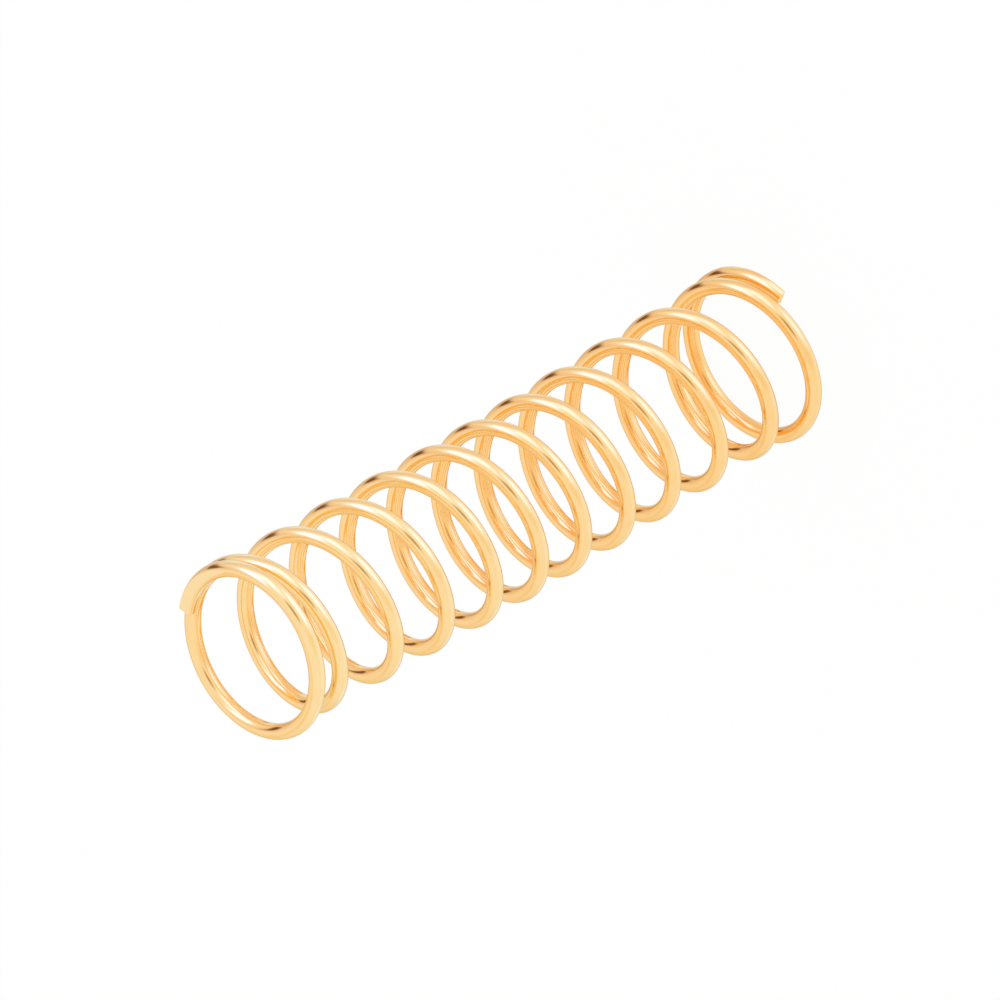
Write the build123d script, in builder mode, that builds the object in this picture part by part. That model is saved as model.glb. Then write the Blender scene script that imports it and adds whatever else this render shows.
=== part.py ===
from build123d import *
import math
import os

os.makedirs("parts", exist_ok=True)

# Driving dimensions: lengths in mm, places along the wire in turns from the nearer tip
wire_d = 0.9
body_outer_d = 9.9  # over the coils at mid length
free_length = 40.6  # between the two ground faces
total_turns = 12.301  # from tip to tip, right hand
lower_tip_left = 0.42  # share of the wire's thickness that grinding leaves at a tip
upper_tip_left = 0.8
lower_closed_gap = 0.14  # between the end turns where they lie closed
upper_closed_gap = 0.07
lower_closed_turns = 0.73  # the end turns lie closed up to here
upper_closed_turns = 0.8
lower_widest_turns = 1.517  # the pitch is widest here
upper_widest_turns = 1.658
lower_settled_turns = 2.72  # and has come down again here
upper_settled_turns = 1.904
lower_widest_ratio = 1.304  # of the pitch at mid length
upper_widest_ratio = 1.439
lower_settled_ratio = 1.19
upper_settled_ratio = 1.209
lower_swell = 0.2  # the end turns run this much further out than the body
upper_swell = 0.495
swell_at = 0.785  # turns from a tip
lower_swell_reach = 0.47  # turns to either side of that
upper_swell_reach = 0.595
lower_flare = 0.16  # the last turn opens outwards by this much at its tip
upper_flare = 0.17
lower_flare_reach = 0.95  # turns from the tip
upper_flare_reach = 0.47
lower_oval = 0.07  # the end turns are this much wider one way, and as much narrower across
upper_oval = 0.208
lower_oval_angle = -61.0  # degrees from +X, where the lower tip is
upper_oval_angle = -8.0
lower_oval_reach = 3.17  # turns from the tip
upper_oval_reach = 2.48
bow = 0.38  # sideways lean at mid length
bow_angle = -80.0
upper_shift = 0.55  # the upper end turns sit this much to one side
upper_shift_angle = -11.0
shift_reach = 1.216  # turns from the tip
points_per_turn = 16
slices_per_point = 20

# Derived
wire_r = wire_d / 2
mean_r = (body_outer_d - wire_d) / 2
lower_tip_height = lower_tip_left * wire_d - wire_r  # of the wire's middle over the ground face
upper_tip_height = upper_tip_left * wire_d - wire_r
climb = free_length - lower_tip_height - upper_tip_height
mid_turn = total_turns / 2
point_count = math.ceil(total_turns * points_per_turn)
slice_count = point_count * slices_per_point
slice_turns = total_turns / slice_count


def by_end(turn, lower, upper):
    """The value for the end that this turn is nearer to."""
    return lower if turn < mid_turn else upper


def openness(turn):
    """0 where the end turns lie closed, 1 where the pitch is fully open."""
    inward = min(turn, total_turns - turn)
    closed = by_end(turn, lower_closed_turns, upper_closed_turns)
    widest_at = by_end(turn, lower_widest_turns, upper_widest_turns)
    return min(max((inward - closed) / (widest_at - closed), 0), 1)


def open_ratio(turn):
    """Open pitch as a ratio of the pitch at mid length."""
    inward = min(turn, total_turns - turn)
    widest_at = by_end(turn, lower_widest_turns, upper_widest_turns)
    settled_at = by_end(turn, lower_settled_turns, upper_settled_turns)
    settled = by_end(turn, lower_settled_ratio, upper_settled_ratio)
    widest = by_end(turn, lower_widest_ratio, upper_widest_ratio)
    if inward < settled_at:
        share = min((settled_at - inward) / (settled_at - widest_at), 1)
        return settled + (widest - settled) * share
    return 1 + (settled - 1) * (mid_turn - inward) / (mid_turn - settled_at)


def radius(turn):
    """The end turns swell out from the body, are slightly oval, and open towards the tip."""
    inward = min(turn, total_turns - turn)
    off = min(abs(inward - swell_at) / by_end(turn, lower_swell_reach, upper_swell_reach), 1)
    swell = by_end(turn, lower_swell, upper_swell) * math.cos(math.pi / 2 * off) ** 2
    flare_left = max(1 - inward / by_end(turn, lower_flare_reach, upper_flare_reach), 0)
    flare = by_end(turn, lower_flare, upper_flare) * flare_left
    oval_left = max(1 - inward / by_end(turn, lower_oval_reach, upper_oval_reach), 0)
    across = 2 * math.pi * turn - math.radians(by_end(turn, lower_oval_angle, upper_oval_angle))
    oval = by_end(turn, lower_oval, upper_oval) * oval_left * math.cos(2 * across)
    return mean_r + swell + flare + oval


def lean(turn):
    """How far the middle of a turn sits off the axis."""
    bowed = bow * math.cos(math.pi / 2 * (turn / mid_turn - 1)) ** 2
    shifted = upper_shift * max(1 - (total_turns - turn) / shift_reach, 0) ** 2
    x = bowed * math.cos(math.radians(bow_angle)) + shifted * math.cos(math.radians(upper_shift_angle))
    y = bowed * math.sin(math.radians(bow_angle)) + shifted * math.sin(math.radians(upper_shift_angle))
    return x, y


# The pitch at mid length is what makes the wire climb exactly from tip to tip
closed_climbs = []
open_climbs = []
for number in range(slice_count):
    turn = (number + 0.5) * slice_turns
    closed_pitch = wire_d + by_end(turn, lower_closed_gap, upper_closed_gap)
    closed_climbs.append(closed_pitch * (1 - openness(turn)) * slice_turns)
    open_climbs.append(open_ratio(turn) * openness(turn) * slice_turns)
mid_pitch = (climb - sum(closed_climbs)) / sum(open_climbs)

# Points along the middle of the wire
centres = []
for point in range(point_count + 1):
    done = point * slices_per_point
    turn = done * slice_turns
    angle = 2 * math.pi * turn
    lean_x, lean_y = lean(turn)
    x = radius(turn) * math.cos(angle) + lean_x
    y = radius(turn) * math.sin(angle) + lean_y
    z = lower_tip_height + sum(closed_climbs[:done]) + mid_pitch * sum(open_climbs[:done])
    centres.append((x, y, z))

with BuildPart() as spring_wire:
    with BuildLine() as coil:
        Spline(*centres)
    with BuildSketch(Plane(origin=coil.line @ 0, z_dir=coil.line % 0)):
        Circle(wire_r)
    sweep(path=coil.wire(), is_frenet=True)
    # Both ends are ground flat, square to the axis
    split(bisect_by=Plane.XY, keep=Keep.TOP)
    split(bisect_by=Plane.XY.offset(free_length), keep=Keep.BOTTOM)

spring_wire.part.label = "spring_wire"
export_step(spring_wire.part, "parts/spring_wire.step")

print("pitch at mid length", round(mid_pitch, 3), "bounds", spring_wire.part.bounding_box())
print("volume", spring_wire.part.volume, "section x length", math.pi * wire_r**2 * coil.wire().length)
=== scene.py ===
# %% [markdown]
# # A gold compression spring
# One length of round wire, wound right hand, closed at both ends and ground flat there.
# The imported model comes in first. It gives the frame that every later piece is placed in,
# and its box gives the free length and the place of the ground ends.

# %% Load the frame
import math

import bmesh
import bpy
from mathutils import Matrix, Vector


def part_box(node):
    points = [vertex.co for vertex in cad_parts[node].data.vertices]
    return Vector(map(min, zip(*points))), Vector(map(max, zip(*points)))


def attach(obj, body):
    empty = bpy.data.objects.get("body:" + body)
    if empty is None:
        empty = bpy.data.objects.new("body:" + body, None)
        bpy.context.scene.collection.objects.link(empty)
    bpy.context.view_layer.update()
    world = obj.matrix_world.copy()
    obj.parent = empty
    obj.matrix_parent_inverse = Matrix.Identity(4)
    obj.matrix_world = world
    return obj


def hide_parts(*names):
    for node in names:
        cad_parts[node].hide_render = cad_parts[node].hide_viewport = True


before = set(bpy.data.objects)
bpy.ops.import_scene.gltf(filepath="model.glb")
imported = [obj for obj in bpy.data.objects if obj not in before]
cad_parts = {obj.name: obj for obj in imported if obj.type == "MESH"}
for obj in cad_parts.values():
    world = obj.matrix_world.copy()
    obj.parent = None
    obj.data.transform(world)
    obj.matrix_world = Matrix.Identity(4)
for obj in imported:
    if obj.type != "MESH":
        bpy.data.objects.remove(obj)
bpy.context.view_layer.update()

MM = 0.001
low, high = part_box("spring_wire")
print("wire from", [round(v / MM, 2) for v in low], "to", [round(v / MM, 2) for v in high], "mm")

# %% [markdown]
# ## The camera
# Near and far turns look almost the same size in the picture, as they do from far off with a
# long lens. The spring stands on its ground end here, while in the picture it lies across the
# frame with its upper end towards the lower left. The spring could be laid down for that, but it
# is seated and measured standing. So the camera is rolled instead, and the frame stays as it is.
# Its angles, scale and aim come from a least-squares fit to the wire's outline in the picture.

# %% Turn and roll the view
view_azimuth = math.radians(-23.54)
view_elevation = math.radians(37.955)
view_roll = math.radians(-120.4)

towards = Vector((
    math.cos(view_elevation) * math.cos(view_azimuth),
    math.cos(view_elevation) * math.sin(view_azimuth),
    math.sin(view_elevation),
))
level = Vector((0, 0, 1)).cross(towards).normalized()
upright = towards.cross(level)
right = level * math.cos(view_roll) + upright * math.sin(view_roll)
up = towards.cross(right)
print("the camera looks from", [round(v, 3) for v in towards])

# %% Lens and place of the camera
PIXELS_PER_MM = 18.704
PICTURE_PIXELS = 1000
SENSOR = 36.0  # mm wide
view_distance = 1000 * MM
aim = Vector((0.489, -0.066, 20.8)) * MM

lens = bpy.data.cameras.new("camera")
lens.sensor_width = SENSOR
lens.lens = SENSOR * PIXELS_PER_MM * view_distance / MM / PICTURE_PIXELS
lens.clip_start = 0.05
lens.clip_end = 5.0
camera = bpy.data.objects.new("camera", lens)
camera.matrix_world = Matrix((
    (right.x, up.x, towards.x, aim.x + towards.x * view_distance),
    (right.y, up.y, towards.y, aim.y + towards.y * view_distance),
    (right.z, up.z, towards.z, aim.z + towards.z * view_distance),
    (0, 0, 0, 1),
))
bpy.context.collection.objects.link(camera)
bpy.context.scene.camera = camera
print("lens", round(lens.lens), "mm from", view_distance, "m")

# %% [markdown]
# ## How the wire runs
# A spring coiler closes the end turns by pushing them against their neighbours, opens the pitch
# quickly after that, and settles it along the body. The end turns come out a little wider than
# the body, open a little towards the tip, and are slightly oval. The middle coils lean to one
# side and the upper end turns to another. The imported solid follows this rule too, but its mesh
# has coarse facets that a glossy wire shows at once. So the same rule is worked out here again,
# in finer steps. Turns are counted from the lower tip, and in the sizes from the nearer one.
# Wire, coil, length and what the tips keep were set first, and held. The other sizes come from
# the same least-squares fit to the picture's outline as the camera, and were then rounded.

# %% Sizes of the winding
wire_d = 0.9 * MM
body_outer_d = 9.9 * MM  # over the coils at mid length
free_length = high.z - low.z  # between the two ground faces
total_turns = 12.301  # from tip to tip
lower_tip_left = 0.42  # share of the wire's thickness that grinding leaves at a tip
upper_tip_left = 0.8
lower_closed_gap = 0.14 * MM  # between the end turns where they lie closed
upper_closed_gap = 0.07 * MM
lower_closed_turns = 0.73  # the end turns lie closed up to here
upper_closed_turns = 0.8
lower_widest_turns = 1.517  # the pitch is widest here
upper_widest_turns = 1.658
lower_settled_turns = 2.72  # and has come down again here
upper_settled_turns = 1.904
lower_widest_ratio = 1.304  # of the pitch at mid length
upper_widest_ratio = 1.439
lower_settled_ratio = 1.19
upper_settled_ratio = 1.209

wire_r = wire_d / 2
mean_r = (body_outer_d - wire_d) / 2
lower_tip_height = lower_tip_left * wire_d - wire_r
upper_tip_height = upper_tip_left * wire_d - wire_r
mid_turn = total_turns / 2
print("wire", round(wire_d / MM, 2), "mm, free length", round(free_length / MM, 2), "mm")

# %% Sizes of the end turns and the lean
lower_swell = 0.2 * MM  # the end turns run this much further out than the body
upper_swell = 0.495 * MM
swell_at = 0.785  # turns from a tip
lower_swell_reach = 0.47  # turns to either side of that
upper_swell_reach = 0.595
lower_flare = 0.16 * MM  # the last turn opens outwards by this much at its tip
upper_flare = 0.17 * MM
lower_flare_reach = 0.95  # turns from the tip
upper_flare_reach = 0.47
lower_oval = 0.07 * MM  # wider by this much one way, and as much narrower across
upper_oval = 0.208 * MM
lower_oval_angle = math.radians(-61.0)
upper_oval_angle = math.radians(-8.0)
lower_oval_reach = 3.17  # turns from the tip
upper_oval_reach = 2.48
bow = 0.38 * MM  # sideways lean at mid length
bow_angle = math.radians(-80.0)
upper_shift = 0.55 * MM  # the upper end turns sit this much to one side
upper_shift_angle = math.radians(-11.0)
shift_reach = 1.216  # turns from the tip
print("the middle leans by", round(bow / MM, 2), "mm, the upper end by", round(upper_shift / MM, 2))


# %% How open each turn is
def by_end(turn, lower, upper):
    """The value for the end that this turn is nearer to."""
    return lower if turn < mid_turn else upper


def openness(turn):
    """0 where the end turns lie closed, 1 where the pitch is fully open."""
    inward = min(turn, total_turns - turn)
    closed = by_end(turn, lower_closed_turns, upper_closed_turns)
    widest_at = by_end(turn, lower_widest_turns, upper_widest_turns)
    return min(max((inward - closed) / (widest_at - closed), 0), 1)


def open_ratio(turn):
    """Open pitch as a ratio of the pitch at mid length."""
    inward = min(turn, total_turns - turn)
    widest_at = by_end(turn, lower_widest_turns, upper_widest_turns)
    settled_at = by_end(turn, lower_settled_turns, upper_settled_turns)
    settled = by_end(turn, lower_settled_ratio, upper_settled_ratio)
    widest = by_end(turn, lower_widest_ratio, upper_widest_ratio)
    if inward < settled_at:
        share = min((settled_at - inward) / (settled_at - widest_at), 1)
        return settled + (widest - settled) * share
    return 1 + (settled - 1) * (mid_turn - inward) / (mid_turn - settled_at)


print("open ratio of turns 1 to 4:", [round(open_ratio(turn), 2) for turn in range(1, 5)])


# %% How wide each turn is and where its middle sits
def radius(turn):
    """From the axis to the middle of the wire."""
    inward = min(turn, total_turns - turn)
    off = min(abs(inward - swell_at) / by_end(turn, lower_swell_reach, upper_swell_reach), 1)
    swell = by_end(turn, lower_swell, upper_swell) * math.cos(math.pi / 2 * off) ** 2
    flare_left = max(1 - inward / by_end(turn, lower_flare_reach, upper_flare_reach), 0)
    flare = by_end(turn, lower_flare, upper_flare) * flare_left
    oval_left = max(1 - inward / by_end(turn, lower_oval_reach, upper_oval_reach), 0)
    across = 2 * math.pi * turn - by_end(turn, lower_oval_angle, upper_oval_angle)
    oval = by_end(turn, lower_oval, upper_oval) * oval_left * math.cos(2 * across)
    return mean_r + swell + flare + oval


def lean(turn):
    """How far the middle of a turn sits off the axis."""
    bowed = bow * math.cos(math.pi / 2 * (turn / mid_turn - 1)) ** 2
    shifted = upper_shift * max(1 - (total_turns - turn) / shift_reach, 0) ** 2
    return Vector((
        bowed * math.cos(bow_angle) + shifted * math.cos(upper_shift_angle),
        bowed * math.sin(bow_angle) + shifted * math.sin(upper_shift_angle),
        0,
    ))


print("radius at mid length", round(radius(mid_turn) / MM, 2), "mm")

# %% Climb from tip to tip
# The pitch at mid length is what makes the wire climb exactly from tip to tip
RINGS_PER_TURN = 128
ring_count = math.ceil(total_turns * RINGS_PER_TURN)
ring_turns = total_turns / ring_count
closed_climb = [0.0]
open_climb = [0.0]
for ring in range(ring_count):
    turn = (ring + 0.5) * ring_turns
    closed_pitch = wire_d + by_end(turn, lower_closed_gap, upper_closed_gap)
    closed_climb.append(closed_climb[-1] + closed_pitch * (1 - openness(turn)) * ring_turns)
    open_climb.append(open_climb[-1] + open_ratio(turn) * openness(turn) * ring_turns)
climb = free_length - lower_tip_height - upper_tip_height
mid_pitch = (climb - closed_climb[-1]) / open_climb[-1]
print("pitch at mid length", round(mid_pitch / MM, 3), "mm")

# %% Middle of the wire
centres = []
outwards = []
for ring in range(ring_count + 1):
    turn = ring * ring_turns
    angle = 2 * math.pi * turn
    out = Vector((math.cos(angle), math.sin(angle), 0))
    height = lower_tip_height + closed_climb[ring] + mid_pitch * open_climb[ring]
    centres.append(out * radius(turn) + lean(turn) + Vector((0, 0, low.z + height)))
    outwards.append(out)
wire_length = sum((b - a).length for a, b in zip(centres, centres[1:]))
print("wire length", round(wire_length / MM, 1), "mm")

# %% [markdown]
# ## The wire
# A curve with a round bevel would make a tube at once, but its ends could not be ground. Here
# rings of points are laid along the middle line and joined into a tube with bmesh. Each point
# keeps how far it is along the wire and around it, so that the finish can follow the wire.

# %% Lay rings along the middle
POINTS_AROUND = 40
mesh = bpy.data.meshes.new("wire")
grid = bmesh.new()
along_layer = grid.verts.layers.float.new("along")
around_layer = grid.verts.layers.float_vector.new("around")
rings = []
for ring, centre in enumerate(centres):
    before = centres[max(ring - 1, 0)]
    after = centres[min(ring + 1, ring_count)]
    forwards = (after - before).normalized()
    out = (outwards[ring] - forwards * outwards[ring].dot(forwards)).normalized()
    rise = out.cross(forwards)
    loop = []
    for step in range(POINTS_AROUND):
        angle = 2 * math.pi * step / POINTS_AROUND
        point = grid.verts.new(centre + wire_r * (out * math.cos(angle) + rise * math.sin(angle)))
        point[along_layer] = ring / ring_count * wire_length
        point[around_layer] = (math.cos(angle), math.sin(angle), 0)
        loop.append(point)
    rings.append(loop)
print(len(rings), "rings of", POINTS_AROUND, "points")

# %% Join the rings and close the tips
for here, there in zip(rings, rings[1:]):
    for step in range(POINTS_AROUND):
        beside = (step + 1) % POINTS_AROUND
        grid.faces.new((here[step], there[step], there[beside], here[beside]))
grid.faces.new(rings[0])
grid.faces.new(rings[-1][::-1])
print("tube of", len(grid.faces), "faces")


# %% [markdown]
# ## The ground ends
# After coiling, each end is pressed against a grinding wheel until it stands square. That takes
# most of the wire's thickness away at the tip and less and less further round. A boolean with a
# block would do, but it leaves the join to a solver. Cutting the tube with a plane and filling
# the cut gives exactly the ground shape, with the wheel's sharp edge.

# %% Grind both ends
SAME_PLACE = 1e-9


def grind(height, outward):
    """Cut away what lies past this height, and close the cut with flat faces."""
    everything = grid.verts[:] + grid.edges[:] + grid.faces[:]
    cut = bmesh.ops.bisect_plane(
        grid, geom=everything, dist=SAME_PLACE, plane_co=(0, 0, height), plane_no=(0, 0, outward),
        clear_outer=True,
    )
    rim = [e for e in cut["geom_cut"] if isinstance(e, bmesh.types.BMEdge) and e.is_boundary]
    filled = bmesh.ops.holes_fill(grid, edges=rim, sides=0)["faces"]
    for face in filled:
        face.normal_update()
        if face.normal.z * outward < 0:
            face.normal_flip()
    return filled


lower_face = grind(low.z, -1)
upper_face = grind(high.z, 1)
print("ground faces", len(lower_face), len(upper_face))

# %% Finish the mesh
# The tube's faces have four corners. Those with more are the flat ends, and some slivers that
# the cut leaves beside them
TUBE_CORNERS = 4
grid.normal_update()
flat_faces = [f for f in grid.faces if len(f.verts) > TUBE_CORNERS]
for face in grid.faces:
    face.smooth = face not in flat_faces
for face in flat_faces:
    for edge in face.edges:
        edge.smooth = False
bmesh.ops.triangulate(grid, faces=flat_faces)
grid.to_mesh(mesh)
grid.free()
print("wire mesh", len(mesh.polygons), "faces")

# %% Put the wire in the frame
wire = bpy.data.objects.new("wire", mesh)
bpy.context.collection.objects.link(wire)
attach(wire, "root")
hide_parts("spring_wire")
print("wire rides on root")

# %% [markdown]
# ## Gold finish
# The gold layer is far thinner than a hair, so it hides nothing: the die that the wire was drawn
# through leaves fine lines along it, and coiling blurs them here and there. A picture of
# scratches could be wrapped around the wire, but its seam would show. So the lines are noise
# that runs fast around the wire and slowly along it, in the bump and in the roughness.


# %% Helpers for materials
def new_material(name):
    """An empty material, and the nodes and links to fill it with."""
    material = bpy.data.materials.new(name)
    material.use_nodes = True
    material.node_tree.nodes.clear()
    return material, material.node_tree.nodes, material.node_tree.links


def math_node(nodes, links, operation, first, second):
    """Work out one sum from two values, each a socket or a number."""
    node = nodes.new("ShaderNodeMath")
    node.operation = operation
    for socket, value in zip(node.inputs, (first, second)):
        if isinstance(value, bpy.types.NodeSocket):
            links.new(value, socket)
        else:
            socket.default_value = value
    return node.outputs["Value"]


def colour_mix(nodes, links, share, first, second):
    """Mix two colours, each a socket or a colour; a share of 1 gives the second."""
    mix = nodes.new("ShaderNodeMix")
    mix.data_type = "RGBA"
    links.new(share, mix.inputs["Factor"])
    for name, colour in (("A", first), ("B", second)):
        if isinstance(colour, bpy.types.NodeSocket):
            links.new(colour, mix.inputs[name])
        else:
            mix.inputs[name].default_value = (*colour, 1)
    return mix.outputs["Result"]


# %% Gold
# The specular tint keeps the edge of the wire golden, where plain metal turns white
gold, nodes, links = new_material("gold")
output = nodes.new("ShaderNodeOutputMaterial")
shader = nodes.new("ShaderNodeBsdfPrincipled")
shader.inputs["Metallic"].default_value = 1.0
shader.inputs["Specular Tint"].default_value = (0.8, 0.66, 0.42, 1)
links.new(shader.outputs["BSDF"], output.inputs["Surface"])
mesh.materials.append(gold)
print("gold on the", mesh.name)

# %% Noise that follows the wire
along = nodes.new("ShaderNodeAttribute")
along.attribute_name = "along"
around = nodes.new("ShaderNodeAttribute")
around.attribute_name = "around"
around_wire = nodes.new("ShaderNodeSeparateXYZ")
links.new(around.outputs["Vector"], around_wire.inputs["Vector"])


def wire_noise(across, lengthwise, detail):
    """Noise with so many lumps to a wire radius across, and so many to a metre along the wire."""
    place = nodes.new("ShaderNodeCombineXYZ")
    for axis in ("X", "Y"):
        around_lumps = math_node(nodes, links, "MULTIPLY", around_wire.outputs[axis], across)
        links.new(around_lumps, place.inputs[axis])
    long_lumps = math_node(nodes, links, "MULTIPLY", along.outputs["Fac"], lengthwise)
    links.new(long_lumps, place.inputs["Z"])
    noise = nodes.new("ShaderNodeTexNoise")
    noise.inputs["Scale"].default_value = 1.0
    noise.inputs["Detail"].default_value = detail
    links.new(place.outputs["Vector"], noise.inputs["Vector"])
    return noise.outputs["Fac"]


draw_lines = wire_noise(across=6.0, lengthwise=120.0, detail=2.0)
soft_waves = wire_noise(across=0.9, lengthwise=900.0, detail=1.0)
print("noise along", round(wire_length, 3), "m of wire")


# %% Draw lines and soft waves in the surface
def bump(height, strength, depth):
    """A bump from this noise, at most this deep, in metres."""
    node = nodes.new("ShaderNodeBump")
    node.inputs["Strength"].default_value = strength
    node.inputs["Distance"].default_value = depth
    links.new(height, node.inputs["Height"])
    return node


bump_lines = bump(draw_lines, strength=0.1, depth=0.0025 * MM)
bump_waves = bump(soft_waves, strength=0.5, depth=0.012 * MM)
links.new(bump_lines.outputs["Normal"], bump_waves.inputs["Normal"])
links.new(bump_waves.outputs["Normal"], shader.inputs["Normal"])

rough = nodes.new("ShaderNodeMapRange")
rough.inputs["From Min"].default_value = 0.3
rough.inputs["From Max"].default_value = 0.7
rough.inputs["To Min"].default_value = 0.08
rough.inputs["To Max"].default_value = 0.14
links.new(draw_lines, rough.inputs["Value"])
links.new(rough.outputs["Result"], shader.inputs["Roughness"])
print("draw lines and soft waves")

# %% [markdown]
# ## Colour of the gold
# The colour barely changes, because nearly all that the eye sees is mirrored. In the picture it
# is a little paler towards the upper end and on the ground faces, and deeper on the inner side of
# each turn. Here the upper end's paleness is painted light, and the deeper inner side is a
# painted reflection of the gold of other turns. Why is a guess: the inner side may be polished
# less, or may mirror the gold of other turns, and the grinding marks may be finer. The ground
# faces simply get a paler gold. The tints were set one by one, guided by colours measured in the
# picture. One colour would be simpler, but then the coils look flat and alike.

# %% Painted light: paler towards the upper end, painted reflection deeper inside
deep_gold = (1.0, 0.64, 0.21)
pale_gold = (1.0, 0.78, 0.345)
UNEVENNESS = 0.5
INNER_REFLECTION_DEPTH = 0.4
MIDDLE_OF_NOISE = 0.5

coordinates = nodes.new("ShaderNodeTexCoord")
place = nodes.new("ShaderNodeSeparateXYZ")
links.new(coordinates.outputs["Object"], place.inputs["Vector"])
# Painted light: the gold gets paler towards the upper end
painted_light_upwards = nodes.new("ShaderNodeMapRange")
painted_light_upwards.inputs["From Min"].default_value = low.z
painted_light_upwards.inputs["From Max"].default_value = high.z
painted_light_upwards.inputs["To Min"].default_value = 0.32
painted_light_upwards.inputs["To Max"].default_value = 0.86
links.new(place.outputs["Z"], painted_light_upwards.inputs["Value"])

wave = math_node(nodes, links, "SUBTRACT", soft_waves, MIDDLE_OF_NOISE)
uneven = math_node(nodes, links, "MULTIPLY", wave, UNEVENNESS)
# Painted reflection: the inner side of each turn gets deeper gold, standing in for the other turns
# that it mirrors
inner_painted_reflection = math_node(nodes, links, "MULTIPLY", around_wire.outputs["X"], -INNER_REFLECTION_DEPTH)
deeper = math_node(nodes, links, "MAXIMUM", inner_painted_reflection, 0)
# Paler from the painted light and from the uneven tone of the soft waves, less the painted
# reflection inside
paler = math_node(nodes, links, "ADD", painted_light_upwards.outputs["Result"], uneven)
gold_with_painted_light = colour_mix(
    nodes, links, math_node(nodes, links, "SUBTRACT", paler, deeper), deep_gold, pale_gold,
)
print("gold from", deep_gold, "to", pale_gold)

# %% Paler ground faces
ground_gold = (1.0, 0.82, 0.4)
SQUARE_TO_AXIS = 0.9999

facing = nodes.new("ShaderNodeSeparateXYZ")
links.new(coordinates.outputs["Normal"], facing.inputs["Vector"])
either_end = math_node(nodes, links, "ABSOLUTE", facing.outputs["Z"], 0)
is_ground = math_node(nodes, links, "GREATER_THAN", either_end, SQUARE_TO_AXIS)
# The base colour carries the painted light and painted reflection, with a paler gold on the ground
# faces
base_colour_with_painted_light = colour_mix(nodes, links, is_ground, gold_with_painted_light, ground_gold)
links.new(base_colour_with_painted_light, shader.inputs["Base Color"])
print("ground faces", ground_gold)

# %% [markdown]
# ## Table and backdrop
# The spring is shown on plain white. The table is matt white paper. Light strong enough to turn
# it fully white would bleach the gold too, so what the camera sees of it is mixed towards plain
# white instead, and it keeps a trace of shadow. The metal in the picture shows no sign of ground
# close under the coils, so here it mirrors the tent on every side and not the paper.

# %% Table
table_half = 3.0
corners = [(x * table_half, y * table_half, 0) for x, y in ((-1, -1), (1, -1), (1, 1), (-1, 1))]
floor_mesh = bpy.data.meshes.new("table")
floor_mesh.from_pydata(corners, [], [(0, 1, 2, 3)])
floor = bpy.data.objects.new("table", floor_mesh)
floor.location.z = low.z
bpy.context.collection.objects.link(floor)
print("table", 2 * table_half, "m wide")


# %% White paper
def mirrored_rays(nodes, links):
    """1 for rays that metal or glass has sent on, and 0 for all others."""
    path = nodes.new("ShaderNodeLightPath")
    return math_node(
        nodes, links, "MAXIMUM", path.outputs["Is Glossy Ray"], path.outputs["Is Transmission Ray"],
    )


WHITE_SHARE = 0.96
paper, nodes, links = new_material("paper")
output = nodes.new("ShaderNodeOutputMaterial")
matt = nodes.new("ShaderNodeBsdfDiffuse")
matt.inputs["Color"].default_value = (0.95, 0.95, 0.95, 1)
white = nodes.new("ShaderNodeEmission")
clear = nodes.new("ShaderNodeBsdfTransparent")

path = nodes.new("ShaderNodeLightPath")
seen = nodes.new("ShaderNodeMixShader")
whitened = math_node(nodes, links, "MULTIPLY", path.outputs["Is Camera Ray"], WHITE_SHARE)
links.new(whitened, seen.inputs["Fac"])
links.new(matt.outputs["BSDF"], seen.inputs[1])
links.new(white.outputs["Emission"], seen.inputs[2])
sheet = nodes.new("ShaderNodeMixShader")
links.new(mirrored_rays(nodes, links), sheet.inputs["Fac"])
links.new(seen.outputs["Shader"], sheet.inputs[1])
links.new(clear.outputs["BSDF"], sheet.inputs[2])
links.new(sheet.outputs["Shader"], output.inputs["Surface"])
floor_mesh.materials.append(paper)
print("paper is white for the camera and clear for the metal")

# %% [markdown]
# ## Light
# A polished wire shows nothing but its surroundings, so most of its look is the tent around it.
# Lamps could draw its highlights, but not its dark strokes, and they would light the paper as
# well. So the world itself is the tent: a colour for each direction, for the metal alone. The
# paper gets plain white light from all round.


# %% Directions around the spring
def direction(bearing, height):
    """Where to look from the spring: bearing from +X towards +Y, height over the table."""
    bearing_angle, height_angle = math.radians(bearing), math.radians(height)
    return Vector((
        math.cos(height_angle) * math.cos(bearing_angle),
        math.cos(height_angle) * math.sin(bearing_angle),
        math.sin(height_angle),
    ))


print("bearing 90 is", [round(v, 2) for v in direction(90, 0)])

# %% Bare tent
# The tent has no small bright lamp, so rays need no map of it to aim by
world = bpy.data.worlds.new("tent")
bpy.context.scene.world = world
world.use_nodes = True
world.cycles.sampling_method = "NONE"
nodes, links = world.node_tree.nodes, world.node_tree.links
around_us = nodes.new("ShaderNodeTexCoord").outputs["Generated"]
print("tent around", wire.name)

# %% [markdown]
# ## Patches on the tent
# A picture of a studio could be wrapped around the spring, but then nothing in it could be moved.
# Here each thing around the spring is a soft oval patch, laid over the ones before it. White
# cloth gives the even level that makes the gold look pale, a little warmer at the back. Daylight
# panels draw the cream highlights along each turn. A stand and the camera itself are dark, and
# they draw the brown strokes on the crowns and the thin streak on each shoulder. What each patch
# stands for is a guess. Places and colours were set one by one, guided by measuring what the wire
# in the picture mirrors from each direction.


# %% A patch of colour
def reach_along(axis):
    """How far the direction that a ray looks in goes along this axis."""
    product = nodes.new("ShaderNodeVectorMath")
    product.operation = "DOT_PRODUCT"
    product.inputs[1].default_value = axis
    links.new(around_us, product.inputs[0])
    return product.outputs["Value"]


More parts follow.
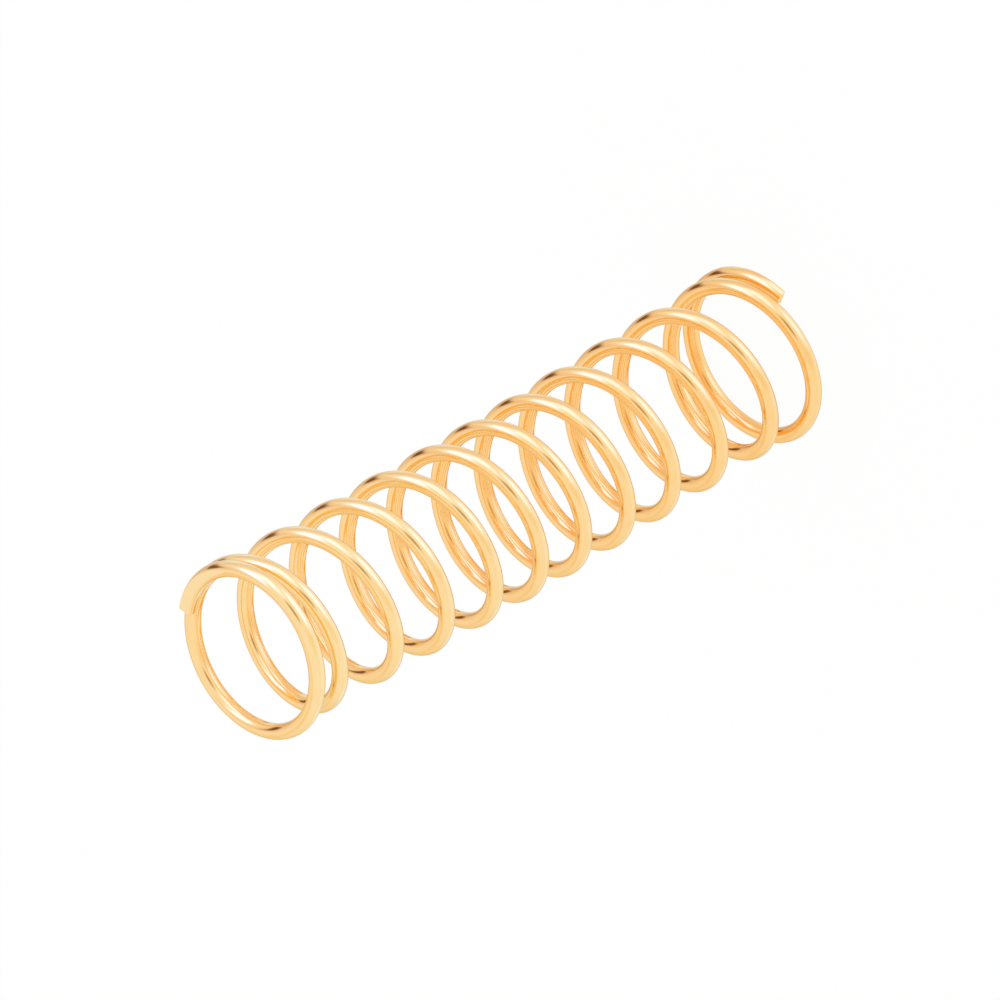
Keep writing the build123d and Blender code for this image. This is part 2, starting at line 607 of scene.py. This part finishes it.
def patch(under, bearing, height, wide, tall, soft, colour, turn=0):
    """A soft oval of colour; half sizes and turn in degrees, soft as a share of the size."""
    middle = direction(bearing, height)
    side = Vector((0, 0, 1)).cross(middle).normalized()
    above = middle.cross(side)
    turned = math.radians(turn)
    wide_way = side * math.cos(turned) + above * math.sin(turned)
    tall_way = above * math.cos(turned) - side * math.sin(turned)
    off = nodes.new("ShaderNodeCombineXYZ")
    links.new(reach_along(wide_way / math.sin(math.radians(wide))), off.inputs["X"])
    links.new(reach_along(tall_way / math.sin(math.radians(tall))), off.inputs["Y"])
    far_off = nodes.new("ShaderNodeVectorMath")
    far_off.operation = "LENGTH"
    links.new(off.outputs["Vector"], far_off.inputs[0])
    fade = nodes.new("ShaderNodeMapRange")
    fade.interpolation_type = "SMOOTHSTEP"
    fade.inputs["From Min"].default_value = 1 + soft
    fade.inputs["From Max"].default_value = 1 - soft
    links.new(far_off.outputs["Value"], fade.inputs["Value"])
    this_side = math_node(nodes, links, "GREATER_THAN", reach_along(middle), 0)
    share = math_node(nodes, links, "MULTIPLY", fade.outputs["Result"], this_side)
    return colour_mix(nodes, links, share, under, colour)


# %% White cloth
# It is bluer towards the ground, and brighter there but for the last patch, and it is warmer at
# the back and to one side
cloth = (0.98, 0.95, 1.1)
tent = patch(cloth, bearing=205, height=-80, wide=34, tall=32, soft=0.6, colour=(0.96, 1.12, 2.0))
tent = patch(tent, bearing=252, height=-50, wide=40, tall=28, soft=0.6, colour=(1.0, 1.03, 1.4))
tent = patch(tent, bearing=156, height=26, wide=40, tall=36, soft=0.5, colour=(0.98, 0.91, 1.07))
tent = patch(tent, bearing=173, height=34, wide=11, tall=19, soft=0.6, colour=(0.96, 0.81, 0.72))
tent = patch(tent, bearing=303, height=10, wide=14, tall=34, soft=0.6, colour=(0.95, 0.87, 0.86))
tent = patch(tent, bearing=112, height=-42, wide=24, tall=20, soft=0.6, colour=(1.0, 1.28, 2.6))
tent = patch(tent, bearing=204, height=-32, wide=15, tall=16, soft=0.6, colour=(1.0, 1.18, 2.2))
tent = patch(tent, bearing=116, height=-13, wide=11, tall=15, soft=0.6, colour=(0.6, 0.7, 1.6))
print("cloth", cloth)

# %% Daylight panels
# The second and third patches are the dusky gap between the panels
tent = patch(
    tent, bearing=34, height=14, wide=29, tall=20, soft=0.5, colour=(1.2, 1.35, 2.5), turn=-45,
)
tent = patch(
    tent, bearing=62, height=-24, wide=19, tall=36, soft=0.5, colour=(0.9, 0.81, 0.96), turn=8,
)
tent = patch(tent, bearing=82, height=-4, wide=12, tall=14, soft=0.6, colour=(0.8, 0.76, 0.95))
tent = patch(tent, bearing=346, height=-27, wide=23, tall=26, soft=0.5, colour=(1.3, 1.35, 2.5))
tent = patch(
    tent, bearing=64, height=42, wide=14, tall=22, soft=0.45, colour=(1.4, 1.46, 3.2), turn=-16,
)
print("three daylight panels")

# %% Stand and camera
# The first patch is the warm shade that the dark stand sits in, and the last one is the camera
tent = patch(tent, bearing=108, height=20, wide=15, tall=43, soft=0.7, colour=(0.88, 0.71, 0.76))
tent = patch(
    tent, bearing=106, height=14, wide=6.5, tall=21, soft=0.45, colour=(0.18, 0.09, 0.06), turn=-3,
)
tent = patch(tent, bearing=343, height=44, wide=12, tall=12, soft=0.6, colour=(0.52, 0.37, 0.22))
print("dark stand and camera")

# %% Show the tent to the metal alone
plain_white = (1, 1, 1)
surroundings = colour_mix(nodes, links, mirrored_rays(nodes, links), plain_white, tent)
links.new(surroundings, nodes["Background"].inputs["Color"])
print("tent for mirrored rays, plain white for the rest")

# %% [markdown]
# ## Picture
# The Standard view shows colours as they are mixed, where a film look would grey the white
# ground.

# %% Picture settings
bpy.context.scene.view_settings.view_transform = "Standard"
